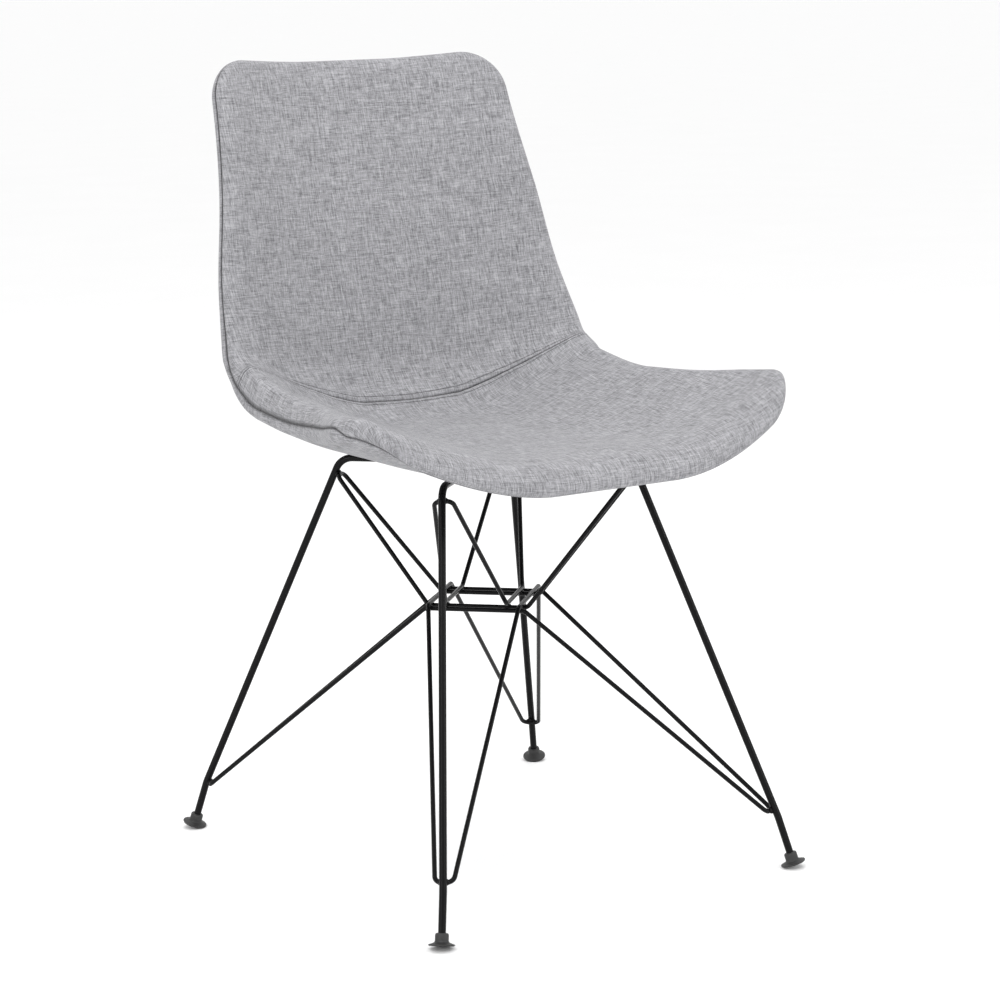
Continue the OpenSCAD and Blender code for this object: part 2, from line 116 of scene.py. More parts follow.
def bump(distance, width):
    """1 at no distance, falling smoothly to 0 a few widths away."""
    return np.exp(-((distance / width) ** 2))


def curve_at(table, where):
    """Smooth curve through (position, value) pairs, level at both ends."""
    at, value = np.array(table, float).T
    slope = np.zeros(len(at))
    slope[1:-1] = (value[2:] - value[:-2]) / (at[2:] - at[:-2])
    where = np.clip(where, at[0], at[-1])
    i = np.clip(np.searchsorted(at, where, side="right") - 1, 0, len(at) - 2)
    gap = at[i + 1] - at[i]
    f = (where - at[i]) / gap
    start = (2 * f**3 - 3 * f**2 + 1) * value[i] + (f**3 - 2 * f**2 + f) * slope[i] * gap
    end = (3 * f**2 - 2 * f**3) * value[i + 1] + (f**3 - f**2) * slope[i + 1] * gap
    return start + end


def ripple(along, wavelength, phase):
    """An uneven wave of three sines that never repeats closely, between about -1 and 1."""
    turn = 2 * math.pi * along / wavelength
    return (np.sin(turn + phase) + 0.6 * np.sin(1.618 * turn + 2.1 * phase)
            + 0.4 * np.sin(0.383 * turn + 3.7 * phase)) / 2


def column(values):
    """One value a row, to go with a grid's rows."""
    return values[:, None]


# ---------- the middle surface ----------
def along_path(path, distance):
    """Distance forward, distance up and heading, some way along (length, turn) parts."""
    left = np.array(distance, float)
    forward = np.zeros_like(left)
    up = np.zeros_like(left)
    heading = np.zeros_like(left)
    for k, (length, turn) in enumerate(path):
        is_last = k == len(path) - 1
        part = np.maximum(left, 0) if is_last else np.clip(left, 0, length)
        if turn:
            radius = length / turn
            after = heading + part / radius
            forward += radius * (np.sin(after) - np.sin(heading))
            up -= radius * (np.cos(after) - np.cos(heading))
            heading = after
        else:
            forward += part * np.cos(heading)
            up += part * np.sin(heading)
        left = left - length
    return forward, up, heading


def middle_line(s):
    """y, z and heading of the middle line."""
    rear, rear_up, rear_heading = along_path(REAR_PATH, np.maximum(s, 0))
    front, front_up, front_heading = along_path(FRONT_PATH, np.maximum(-s, 0))
    behind = s >= 0
    y = BASE_SHIFT_Y + np.where(behind, rear, -front)
    z = SEAT_UNDERSIDE + PAD_HALF + np.where(behind, rear_up, front_up)
    return y, z, np.where(behind, rear_heading, -front_heading)


def half_width(s):
    return curve_at(HALF_WIDTHS, s)


def corner_cut(distance, radius):
    inside = np.minimum(distance, radius)
    return radius - np.sqrt(radius**2 - (radius - inside) ** 2)


def outline_half(s):
    """Half width, narrowed by the rounded corners at both ends."""
    return (half_width(s) - corner_cut(s - FRONT_END, FRONT_CORNER_RADIUS)
            - corner_cut(BACK_END - s, TOP_CORNER_RADIUS))


def shell_point(s, x):
    """Point of the middle surface: the middle line, with its sides raised and bowed back."""
    s, x = np.broadcast_arrays(np.asarray(s, float), np.asarray(x, float))
    y, z, heading = middle_line(s)
    share = np.abs(x) / half_width(s)
    at_front = smooth((-s - FLAT_FRONT) / FRONT_RISE_LENGTH)
    power = RISE_POWER + (FRONT_RISE_POWER - RISE_POWER) * at_front
    rise = np.maximum((share - FLAT_SHARE) / (1 - FLAT_SHARE), 0) ** power
    lift = curve_at(SIDE_LIFTS, s) * rise
    bow = FRONT_BOW * rise * at_front
    lean = np.where(s < LIP_START, -FRONT_RISE_ANGLE, heading)
    return np.stack([x, y + bow - lift * np.sin(lean), z + lift * np.cos(lean)], -1)


def shell_steps(s, x, step):
    """How the middle surface runs at a place: a short way along it, and a short way across."""
    along = shell_point(s + step, x) - shell_point(s - step, x)
    across = shell_point(s, x + step) - shell_point(s, x - step)
    return along, across


def unit(vectors, least=0):
    return vectors / np.maximum(np.linalg.norm(vectors, axis=-1, keepdims=True), least)


def shell_normal(s, x):
    along, across = shell_steps(s, x, 0.5 * MM)
    return unit(np.cross(across, along))


def underside_fill(s, x):
    """How much deeper than the pad's half thickness the underside is."""
    share = np.abs(x) / half_width(s)
    filled = smooth((share - FLAT_SHARE) / (FILLED_SHARE - FLAT_SHARE))
    return 1 + SIDE_FILL * curve_at(SIDE_FILLS, s) * filled


def rim_distance(s, x):
    """Distance in from the outline, which is a rectangle with round corners and bowed sides."""
    side = half_width(s) - np.abs(x)
    nearest = np.minimum(side, np.minimum(s - FRONT_END, BACK_END - s))
    for end, radius in ((s - FRONT_END, FRONT_CORNER_RADIUS), (BACK_END - s, TOP_CORNER_RADIUS)):
        in_corner = (side < radius) & (end < radius)
        rounded = radius - np.hypot(radius - end, radius - side)
        nearest = np.where(in_corner, rounded, nearest)
    return nearest


def seam_line(x):
    """Where the cross seam lies: it runs further up the back at its sides."""
    return SEAM_DISTANCE + SEAM_RISE * (np.abs(x) / BACK_LOW_HALF) ** SEAM_POWER


# ---------- camera ----------
CAMERA_PLACE = (-1.6381, -2.5786, 0.9663)
CAMERA_YAW = math.radians(32.85)
CAMERA_PITCH = math.radians(10.67)
CAMERA_ROLL = math.radians(-1.08)
# Millimetres on the film, which is how the camera takes them.
CAMERA_LENS = 102.5
CAMERA_FILM_WIDTH = 36


def into_scene(name, data):
    thing = bpy.data.objects.new(name, data)
    bpy.context.scene.collection.objects.link(thing)
    return thing


def make_camera():
    data = bpy.data.cameras.new("camera")
    data.lens = CAMERA_LENS
    data.sensor_width = CAMERA_FILM_WIDTH
    camera = into_scene("camera", data)
    aim = Euler((math.pi / 2 - CAMERA_PITCH, 0, -CAMERA_YAW)).to_matrix()
    camera.matrix_world = (Matrix.Translation(CAMERA_PLACE) @ aim.to_4x4()
                           @ Matrix.Rotation(CAMERA_ROLL, 4, "Z"))
    bpy.context.scene.camera = camera


make_camera()


# ---------- covers ----------
# Degrees by which the side seam lies below the rim's middle, at places along the middle line.
# It drops under the seat's sides, with a small step where the front panel overlaps.
SEAM_TURNS = [(FRONT_END, 0), (-259 * MM, -22), (-247 * MM, -52), (-230 * MM, -64),
              (-218 * MM, -58), (-208 * MM, -36), (-195 * MM, -22), (-167 * MM, -20),
              (-110 * MM, -24), (-53 * MM, -30), (-5 * MM, -38), (67 * MM, -47),
              (149 * MM, -42), (208 * MM, -38), (241 * MM, -14), (289 * MM, -2), (368 * MM, 0),
              (BACK_END, 0)]
# The seam's place, its turn and the outline depend on each other, so they are found in passes.
SWAY_PASSES = 5
RIM_COUNT = 10
ROW_GAP = 5 * MM
STITCH_LINE = 7.8 * MM
# Near the cross seam the pad swells less: over this distance, and down to this sink.
SEAM_FLAT = 16 * MM
SEAM_SINK = 0.6 * MM
# Rows of points beside the cross seam, close together at the seam and at the stitching.
SEAM_ROWS = [distance * MM for distance in (0, 0.5, 1, 1.6, 2.6, 4.2, 5.8, 6.8, 7.3, 7.8, 8.3,
                                            8.8, 10, 12, 15, 19, 24)]
SEAM_DEPTH = 1.3 * MM
SEAM_WIDTH = 1.0 * MM
STITCH_DEPTH = 0.8 * MM
STITCH_WIDTH = 0.7 * MM
# The underside's own panel seam: distance in from the outline, along the middle line.
PANEL_SEAM = [(-210 * MM, 12 * MM), (-95 * MM, 26 * MM), (-37 * MM, 22 * MM), (60 * MM, 44 * MM),
              (100 * MM, 62 * MM)]
PANEL_DEPTH = 1.0 * MM
PANEL_WIDTH = 1.6 * MM
PAD_DEPTH = 9 * MM
CLOTH_THICKNESS = 1.3 * MM
CLOTH_MAP = "cloth"
# Point attribute that holds painted shade for the seam grooves: 0 on open cloth, 1 at a full-depth
# groove.
GROOVE_SHADE_MAP = "groove_shade"


class Cover:
    """Grid of points over one stretch of the chair, on its upper or its lower face.

    seam_end says which end, "start" or "end", follows a cross seam. The other end runs to the
    round rim, and so do both sides, down or up to the side seam.
    """

    def __init__(self, start, end, seam_end, upper, gap=ROW_GAP, rim_count=RIM_COUNT,
                 seam_rows=SEAM_ROWS):
        self.upper = upper
        rows, self.seam_gap = self.row_places(start, end, seam_end, gap, rim_count, seam_rows)
        self.straight = column(rows)
        self.share, progress = self.column_shares(gap, rim_count)

        along = (self.straight - start) / (end - start)
        weight = smooth(2 * (1 - along if seam_end == "start" else along) - 1)
        face_turn = math.pi / 2 if upper else -math.pi / 2
        self.x = self.share * outline_half(self.straight)
        for _ in range(SWAY_PASSES):
            self.s = self.straight + (seam_line(self.x) - SEAM_DISTANCE) * weight
            seam_turn = np.radians(curve_at(SEAM_TURNS, self.s))
            self.turn = seam_turn + (face_turn - seam_turn) * progress
            inset = PAD_HALF * (1 - np.cos(self.turn))
            self.x = self.share * (outline_half(self.s) - inset)

        inside = np.clip(rim_distance(self.s, self.x) / PAD_HALF, 0, 1)
        rim_height = np.sqrt(1 - (1 - inside) ** 2)
        self.height = PAD_HALF * rim_height
        self.height *= np.where(self.turn < 0, -underside_fill(self.s, self.x), 1)
        self.normals = self.outward(1 - inside, rim_height * np.sign(self.turn))
        self.side_gap = np.abs(self.turn - seam_turn) * PAD_HALF
        from_end = np.minimum(self.straight - FRONT_END, BACK_END - self.straight)
        self.end_gap = PAD_HALF * np.arccos(1 - np.clip(from_end / PAD_HALF, 0, 1))
        # Painted groove shade: none until the cloth is sewn.
        self.groove_shade = np.zeros(self.x.shape)
        self.points = self.base_points(0)

    @staticmethod
    def row_places(start, end, seam_end, gap, rim_count, seam_rows):
        """Places of the rows along the middle line, and how far each is from the cross seam."""
        rim_turns = np.linspace(0, math.pi / 2, rim_count, endpoint=False)
        rim = PAD_HALF * (1 - np.cos(rim_turns))
        seam_rows = np.array(seam_rows)
        if seam_end == "start":
            first, last = start, end - PAD_HALF
        else:
            first, last = start + PAD_HALF, end
        rows = np.linspace(first, last, round((last - first) / gap))
        from_seam = rows - first if seam_end == "start" else last - rows
        rows = rows[from_seam > seam_rows[-1] + gap / 2]
        if seam_end == "start":
            rows = np.concatenate([first + seam_rows, rows, (end - rim)[::-1]])
            return rows, rows - first
        rows = np.concatenate([start + rim, rows, last - seam_rows[::-1]])
        return rows, last - rows

    @staticmethod
    def column_shares(gap, rim_count):
        """Share of the half width for each column, and its progress from side seam to face."""
        face = np.linspace(-1, 1, round(2 * SEAT_WAIST_HALF / gap) + 1)
        steps = np.linspace(0, 1, rim_count, endpoint=False)
        share = np.concatenate([-np.ones(rim_count), face, np.ones(rim_count)])
        progress = np.concatenate([steps, np.ones(len(face)), steps[::-1]])
        return share[None], progress[None]

    def base_points(self, lower_by):
        """Points on the face, with the top of the pad lower, but less so at the cross seam."""
        at_seam = bump(column(self.seam_gap), SEAM_FLAT)
        lower_by = lower_by + (min(lower_by, SEAM_SINK) - lower_by) * at_seam
        height = np.where(self.height > 0, self.height * (1 - lower_by / PAD_HALF), self.height)
        return shell_point(self.s, self.x) + shell_normal(self.s, self.x) * height[..., None]

    def outward(self, sideways, upward):
        """Outward normals: the middle surface's own, turned outwards round the rim."""
        step = 0.2 * MM
        deeper_along = rim_distance(self.s + step, self.x) - rim_distance(self.s - step, self.x)
        deeper_across = rim_distance(self.s, self.x + step) - rim_distance(self.s, self.x - step)
        along, across = shell_steps(self.s, self.x, step)
        lateral = -(deeper_along[..., None] * along + deeper_across[..., None] * across)
        lateral = unit(lateral, least=1e-12)
        upright = shell_normal(self.s, self.x)
        return unit(lateral * sideways[..., None] + upright * upward[..., None])

    def move_out(self, distance):
        self.points = self.points + self.normals * distance[..., None]

    def sink_and_shade(self, groove):
        """Sink a groove of this depth at each point, and paint shade into the cloth in it, darker
        the deeper the groove.
        """
        self.move_out(-groove)
        self.groove_shade = np.minimum(groove / SEAM_DEPTH, 1)

    def edge(self):
        """Which points lie on the grid's edge."""
        edge = np.zeros(self.points.shape[:2], bool)
        edge[[0, -1], :] = True
        edge[:, [0, -1]] = True
        return edge

    def cloth_map(self):
        """Flat coordinates of the cloth, in metres: lengths along it both ways."""
        middle = self.points.shape[1] // 2
        across = np.linalg.norm(np.diff(self.points, axis=1), axis=-1)
        u = np.concatenate([np.zeros((len(across), 1)), np.cumsum(across, axis=1)], 1)
        u -= u[:, middle:middle + 1]
        along = np.linalg.norm(np.diff(self.points, axis=0), axis=-1)
        v = np.concatenate([np.zeros((1, along.shape[1])), np.cumsum(along, axis=0)], 0)
        anchor = len(v) // 2
        v += self.straight[anchor, 0] - v[anchor:anchor + 1]
        return np.stack([u, v], -1)

    def build(self, name, thickness):
        """Closed piece with this grid as its outer face."""
        within = ~self.edge()
        inner = self.points - self.normals * thickness
        outer_number = np.arange(within.size).reshape(within.shape)
        inner_number = outer_number.copy()
        inner_number[within] = within.size + np.arange(np.count_nonzero(within))
        points = np.concatenate([self.points.reshape(-1, 3), inner[within]])
        faces = np.concatenate([grid_faces(outer_number), grid_faces(inner_number)[:, ::-1]])
        if not self.upper:
            faces = faces[:, ::-1]
        piece = new_piece(name, points.tolist(), faces.tolist())
        flat = self.cloth_map()
        flat = np.concatenate([flat.reshape(-1, 2), flat[within]])
        # Painted shade of the seam grooves, for the outer and the inner points.
        groove_shade = np.concatenate([self.groove_shade.ravel(), self.groove_shade[within]])
        self.lay_cloth(piece.data, flat.astype(np.float32), groove_shade.astype(np.float32))
        return piece

    @staticmethod
    def lay_cloth(mesh, flat, groove_shade):
        """Give the mesh its cloth coordinates and the painted shade of its seam grooves."""
        corner = np.zeros(len(mesh.loops), np.int32)
        mesh.loops.foreach_get("vertex_index", corner)
        mesh.uv_layers.new(name=CLOTH_MAP).uv.foreach_set("vector", flat[corner].ravel())
        mesh.attributes.new(GROOVE_SHADE_MAP, "FLOAT", "POINT").data.foreach_set("value", groove_shade)
        mesh.update()


def grid_faces(number):
    corners = (number[:-1, :-1], number[:-1, 1:], number[1:, 1:], number[1:, :-1])
    return np.stack([corner.ravel() for corner in corners], 1)


def new_piece(name, points, faces):
    """A smooth-shaded piece."""
    mesh = bpy.data.meshes.new(name)
    mesh.from_pydata(points, [], faces)
    mesh.polygons.foreach_set("use_smooth", np.ones(len(mesh.polygons), bool))
    return into_scene(name, mesh)


# ---------- padding, swollen by cloth simulation ----------
SWELL = 3 * MM
# The simulated pad is coarser than the one that is shown.
SIM_GAP = 9 * MM
SIM_RIM = 3
SIM_SEAM_ROWS = [0, 6 * MM, 14 * MM]
SIM_FRAMES = 20
SIM_PRESSURE = 4
SIM_QUALITY = 6


def swollen(start, end, seam_end):
    """A coarse pad, and how far each of its points moves out when its cover is blown up."""
    pad = Cover(start, end, seam_end, True, SIM_GAP, SIM_RIM, SIM_SEAM_ROWS)
    pad.points = pad.base_points(SWELL)
    out = ((blown_up(pad) - pad.points) * pad.normals).sum(-1)
    return pad, SWELL * np.tanh(np.maximum(out, 0) / SWELL)


def blown_up(pad):
    """The pad's outer points after its cover is blown up with its edge and its back held."""
    piece = pad.build("swelling", PAD_DEPTH - SWELL)
    back = range(pad.x.size, len(piece.data.vertices))
    group = piece.vertex_groups.new(name="held")
    group.add([*back, *np.flatnonzero(pad.edge()).tolist()], 1.0, "REPLACE")
    cloth = piece.modifiers.new("cloth", "CLOTH")
    cloth.settings.vertex_group_mass = group.name
    cloth.settings.use_pressure = True
    cloth.settings.uniform_pressure_force = SIM_PRESSURE
    cloth.settings.effector_weights.gravity = 0
    cloth.settings.quality = SIM_QUALITY
    cloth.point_cache.frame_end = SIM_FRAMES
    scene = bpy.context.scene
    for number in range(1, SIM_FRAMES + 1):
        scene.frame_set(number)
    evaluated = piece.evaluated_get(bpy.context.evaluated_depsgraph_get())
    moved = np.zeros(len(piece.data.vertices) * 3, np.float32)
    evaluated.data.vertices.foreach_get("co", moved)
    bpy.data.objects.remove(piece)
    scene.frame_set(1)
    return moved[:pad.points.size].reshape(pad.points.shape)


def sampled(coarse, values, fine):
    """values on the coarse grid, read at the places of the fine one."""
    by_row = np.empty((len(fine.straight), values.shape[1]))
    for j in range(values.shape[1]):
        by_row[:, j] = np.interp(fine.straight[:, 0], coarse.straight[:, 0], values[:, j])
    coarse_place = column_places(coarse)
    fine_place = column_places(fine)
    return np.array([np.interp(fine_place, coarse_place, row) for row in by_row])


def column_places(cover):
    """A place for each column: its share of the half width, and on round the rim to 2 or -2."""
    middle = len(cover.straight) // 2
    face = math.pi / 2 if cover.upper else -math.pi / 2
    seam = cover.turn[middle, 0]
    round_rim = (face - cover.turn[middle]) / (face - seam)
    return cover.share[0] + np.sign(cover.share[0]) * round_rim


# ---------- materials ----------
class Nodes:
    """Short forms for building a node tree."""

    def __init__(self, name):
        self.material = bpy.data.materials.new(name)
        self.material.use_nodes = True
        self.tree = self.material.node_tree
        self.shader = self.tree.nodes["Principled BSDF"]

    def add(self, kind, **settings):
        node = self.tree.nodes.new(kind)
        for key, value in settings.items():
            setattr(node, key, value)
        return node

    def link(self, source, target):
        self.tree.links.new(source, target)

    def feed(self, node, *values):
        """Set or link the node's inputs, in order."""
        for socket, value in zip(node.inputs, values):
            if isinstance(value, (int, float)):
                socket.default_value = value
            else:
                self.link(value, socket)
        return node.outputs[0]

    def math(self, operation, first, second, clamp=False):
        node = self.add("ShaderNodeMath", operation=operation, use_clamp=clamp)
        return self.feed(node, first, second)

    def scaled(self, value, factor, offset, clamp=False):
        """value times factor, plus offset."""
        return self.math("ADD", self.math("MULTIPLY", value, factor), offset, clamp)

    def place(self, u, v, w=0.0):
        return self.feed(self.add("ShaderNodeCombineXYZ"), u, v, w)

    def object_place(self):
        return self.add("ShaderNodeTexCoord").outputs["Object"]

    def noise(self, vector, scale, detail=2.0, roughness=0.5):
        node = self.add("ShaderNodeTexNoise")
        node.inputs["Scale"].default_value = scale
        node.inputs["Detail"].default_value = detail
        node.inputs["Roughness"].default_value = roughness
        self.link(vector, node.inputs["Vector"])
        return node.outputs["Fac"]

    def ramp(self, value, *stops):
        """Colours at places between 0 and 1."""
        node = self.add("ShaderNodeValToRGB")
        elements = node.color_ramp.elements
        while len(elements) < len(stops):
            elements.new(0.5)
        for element, (place, colour) in zip(elements, stops):
            element.position = place
            element.color = (*colour, 1)
        self.link(value, node.inputs[0])
        return node.outputs[0]

    def colour(self, source):
        self.link(source, self.shader.inputs["Base Color"])

    def rough(self, source):
        self.link(source, self.shader.inputs["Roughness"])

    def bump(self, height, distance, strength):
        node = self.add("ShaderNodeBump")
        node.inputs["Strength"].default_value = strength
        node.inputs["Distance"].default_value = distance
        self.link(height, node.inputs["Height"])
        self.link(node.outputs[0], self.shader.inputs["Normal"])

    def set(self, **values):
        for key, value in values.items():
            self.shader.inputs[key.replace("_", " ")].default_value = value


THREAD_WIDTH = 0.62 * MM
THREAD_RUN = 9 * MM
SLUB_WIDTH = 1.7 * MM
SLUB_RUN = 26 * MM
# Each noise is read at its own height, so that no two look alike.
WARP_HEIGHT = 1.7
WEFT_HEIGHT = 8.3
WARP_SLUB_HEIGHT = 21.1
WEFT_SLUB_HEIGHT = 33.6
CLOUD_HEIGHT = 4.0
# How much each noise shades the cloth.
WARP_WEIGHT = 0.55
WEFT_WEIGHT = 0.45
WARP_SLUB_WEIGHT = 0.30
WEFT_SLUB_WEIGHT = 0.24
SPECKLE_WEIGHT = 0.45
CLOUD_WEIGHT = 0.05
CONTRAST = 2.4
# How much painted shade darkens the cloth at the bottom of a seam groove.
CREASE_SHADE = 0.7


def linen(name, dark, light):
    """Plain weave of uneven yarns: threads, slubs both ways and soft uneven tone over the cloth,
    with painted shade in the seam grooves.
    """
    n = Nodes(name)
    cloth = n.add("ShaderNodeUVMap", uv_map=CLOTH_MAP)
    split = n.add("ShaderNodeSeparateXYZ")
    n.link(cloth.outputs[0], split.inputs[0])
    u, v = split.outputs[0], split.outputs[1]

    def streaks(across, along, width, run, height):
        """Noise drawn out along the thread."""
        return n.noise(n.place(n.math("MULTIPLY", across, 1 / width),
                               n.math("MULTIPLY", along, 1 / run), height),
                       scale=1.0, detail=1.0, roughness=0.6)

    def weighed(*parts):
        """Sum of noises about their middle value, each with its own weight."""
        total = 0.0
        for value, weight in parts:
            total = n.math("ADD", total, n.math("MULTIPLY", n.math("SUBTRACT", value, 0.5), weight))
        return total

    warp = streaks(u, v, THREAD_WIDTH, THREAD_RUN, WARP_HEIGHT)
    weft = streaks(v, u, THREAD_WIDTH, THREAD_RUN, WEFT_HEIGHT)
    warp_slub = streaks(u, v, SLUB_WIDTH, SLUB_RUN, WARP_SLUB_HEIGHT)
    weft_slub = streaks(v, u, SLUB_WIDTH, SLUB_RUN, WEFT_SLUB_HEIGHT)
    speckle = n.noise(n.place(u, v), scale=1 / THREAD_WIDTH, detail=1.0, roughness=0.7)
    cloud = n.noise(n.place(u, v, CLOUD_HEIGHT), scale=14.0, detail=3.0)
    shade = weighed((warp, WARP_WEIGHT), (weft, WEFT_WEIGHT), (warp_slub, WARP_SLUB_WEIGHT),
                    (weft_slub, WEFT_SLUB_WEIGHT), (speckle, SPECKLE_WEIGHT),
                    (cloud, CLOUD_WEIGHT))
    shade = n.scaled(shade, CONTRAST, 0.5, clamp=True)
    # Painted shade in the seam grooves: the cloth's colour is scaled down by the groove attribute.
    groove_shade_node = n.add("ShaderNodeAttribute", attribute_name=GROOVE_SHADE_MAP)
    groove_shade_factor = n.math("SUBTRACT", 1.0, n.math("MULTIPLY", groove_shade_node.outputs["Fac"], CREASE_SHADE))
    cloth_with_groove_shade = n.add("ShaderNodeVectorMath", operation="SCALE")
    n.link(n.ramp(shade, (0.0, dark), (1.0, light)), cloth_with_groove_shade.inputs[0])
    n.link(groove_shade_factor, cloth_with_groove_shade.inputs["Scale"])
    n.colour(cloth_with_groove_shade.outputs[0])
    relief = weighed((warp, 1.0), (weft, 1.0), (speckle, 0.5))
    n.bump(relief, distance=0.5 * MM, strength=0.6)
    n.rough(n.scaled(shade, 0.15, 0.8))
    n.set(Sheen_Weight=0.12, Sheen_Roughness=0.45, Specular_IOR_Level=0.2)
    return n.material


def powder_coat():
    """Black satin powder coat: fine orange peel, faintly uneven sheen and rubbed grey specks."""
    n = Nodes("powder_coat")
    place = n.object_place()
    peel = n.noise(place, scale=1400, detail=3.0, roughness=0.6)
    patch = n.noise(place, scale=35, detail=3.0)
    speck = n.noise(place, scale=420, detail=2.0)
    n.colour(n.ramp(speck, (0.70, (0.0035, 0.0035, 0.0038)), (0.82, (0.012, 0.012, 0.013))))
    n.rough(n.scaled(patch, 0.16, 0.16))
    n.bump(peel, distance=0.05 * MM, strength=0.4)
    n.set(Specular_IOR_Level=0.12)
    return n.material


def moulded_plastic(name, dark, light, grain_scale, least_rough):
    """Moulded plastic or rubber: fine sparked grain with a little dust colour."""
    n = Nodes(name)
    place = n.object_place()
    grain = n.noise(place, scale=grain_scale, detail=4.0, roughness=0.65)
    cloud = n.noise(place, scale=60, detail=3.0)
    n.colour(n.ramp(cloud, (0.35, dark), (0.75, light)))
    n.rough(n.scaled(grain, 0.2, least_rough))
    n.bump(grain, distance=0.08 * MM, strength=0.6)
    return n.material


def zinc():
    """Plated steel: fine turning lines and a faint warm stain."""
    n = Nodes("zinc")
    place = n.object_place()
    stain = n.noise(place, scale=160, detail=3.0)
    lines = n.noise(place, scale=2600, detail=2.0)
    n.colour(n.ramp(stain, (0.3, (0.40, 0.41, 0.43)), (0.7, (0.60, 0.60, 0.58))))
    n.rough(n.scaled(stain, 0.25, 0.2))
    n.bump(lines, distance=0.03 * MM, strength=0.5)
    n.set(Metallic=1.0)
    return n.material


def thread():
    """Twisted sewing thread."""
    n = Nodes("thread")
    twist = n.noise(n.object_place(), scale=2200, detail=2.0)
    n.colour(n.ramp(twist, (0.3, (0.045, 0.045, 0.05)), (0.7, (0.10, 0.10, 0.11))))
    n.bump(twist, distance=0.1 * MM, strength=0.6)
    n.set(Roughness=0.8, Sheen_Weight=0.2)
    return n.material


def give(piece, material):
    """Every slot of the piece shows this material."""
    if not piece.material_slots:
        piece.data.materials.append(material)
    for material_slot in piece.material_slots:
        material_slot.material = material


FABRIC = linen("linen", dark=(0.106, 0.106, 0.113), light=(0.412, 0.410, 0.428))
COAT = powder_coat()
FOOT_PLASTIC = moulded_plastic("foot_plastic", dark=(0.012, 0.012, 0.012),
                               light=(0.026, 0.026, 0.026), grain_scale=900, least_rough=0.45)
PAD_RUBBER = moulded_plastic("pad_rubber", dark=(0.015, 0.015, 0.015),
                             light=(0.035, 0.034, 0.033), grain_scale=500, least_rough=0.7)
SHELL_PLASTIC = moulded_plastic("shell_plastic", dark=(0.06, 0.06, 0.065),
                                light=(0.10, 0.10, 0.10), grain_scale=700, least_rough=0.5)
ZINC = zinc()
THREAD = thread()


# ---------- fabric pieces ----------
# Small gathers along the cross seam.
PUCKER_DEPTH = 0.22 * MM
PUCKER_GAP = 3 * MM
PUCKER_REACH = 9 * MM
PUCKER_WAVE = 17 * MM
FINE_PUCKER_WAVE = 7.5 * MM
# Soft drag lines at the sides of the seat, ahead of the cross seam.
DRAG_DEPTH = 0.45 * MM
DRAG_WAVE = 26 * MM
DRAG_FAN = 0.25
DRAG_MIDDLE_X = SEAT_WAIST_HALF * 0.62
DRAG_REACH_X = 55 * MM
DRAG_GAP = 45 * MM
DRAG_REACH = 38 * MM
# Both fade out this near the side seam.
SIDE_FADE = 10 * MM


def puckers(cover):
    """Small gathers along the cross seam."""
    wave = ripple(cover.x, PUCKER_WAVE, 0.7) + 0.5 * ripple(cover.x, FINE_PUCKER_WAVE, 2.2)
    return PUCKER_DEPTH * wave * bump(column(cover.seam_gap) - PUCKER_GAP, PUCKER_REACH)


def drag_lines(cover):
    """Soft lines that fan out ahead of the seam at the sides of the seat."""
    fan = column(cover.seam_gap) - DRAG_FAN * (np.abs(cover.x) - SEAT_WAIST_HALF * 0.5)
    patch = bump(np.abs(cover.x) - DRAG_MIDDLE_X, DRAG_REACH_X)
    patch = patch * bump(column(cover.seam_gap) - DRAG_GAP, DRAG_REACH)
    return DRAG_DEPTH * ripple(fan, DRAG_WAVE, 1.3) * patch


def seam_grooves(cover, stitched):
    """Depth of the grooves along the cross seam, the side seam and the seam at the far end."""
    depth = SEAM_DEPTH * bump(column(cover.seam_gap), SEAM_WIDTH)
    if stitched:
        depth = depth + STITCH_DEPTH * bump(column(cover.seam_gap) - STITCH_LINE, STITCH_WIDTH)
    for gap in (cover.side_gap, cover.end_gap):
        depth = np.maximum(depth, SEAM_DEPTH * bump(gap, SEAM_WIDTH))
    return depth


def make_pad(name, start, end, seam_end):
    """One upholstered pad, and the line along which its topstitching runs."""
    coarse, out = swollen(start, end, seam_end)
    pad = Cover(start, end, seam_end, True)
    pad.points = pad.base_points(SWELL)
    pad.move_out(sampled(coarse, out, pad))
    gathers = puckers(pad)
    if seam_end == "end":
        gathers = gathers + drag_lines(pad)
    pad.move_out(gathers * (1 - bump(pad.side_gap, SIDE_FADE)))
    # Sink the seam and stitch grooves, and paint shade into them.
    pad.sink_and_shade(seam_grooves(pad, stitched=True))
    piece = pad.build(name, PAD_DEPTH)
    give(piece, FABRIC)
    row = int(np.argmin(np.abs(pad.seam_gap - STITCH_LINE)))
    return piece, pad.points[row], pad.normals[row]


def make_outer(name, start, end, seam_end):
    cover = Cover(start, end, seam_end, False)
    groove = seam_grooves(cover, stitched=False)
    if seam_end == "end":
        panel_gap = half_width(cover.s) - np.abs(cover.x) - curve_at(PANEL_SEAM, cover.s)
        panel = bump(panel_gap, PANEL_WIDTH) * smooth((cover.s - LIP_START) / FLAT_FRONT)
        groove = np.maximum(groove, PANEL_DEPTH * panel)
    # Sink the seam and panel grooves, and paint shade into them.
    cover.sink_and_shade(groove)
    piece = cover.build(name, CLOTH_THICKNESS)
    give(piece, FABRIC)
    return piece


STITCH_PITCH = 3.8 * MM
STITCH_LENGTH = 3.0 * MM
THREAD_RADIUS = 0.42 * MM
STITCH_RINGS = 5
STITCH_SIDES = 6
# In thread radii: how far a stitch's ends are sunk, how high it arches, how thin its ends are.
STITCH_SINK = 0.7
STITCH_ARCH = 1.3
STITCH_TIP = 0.45


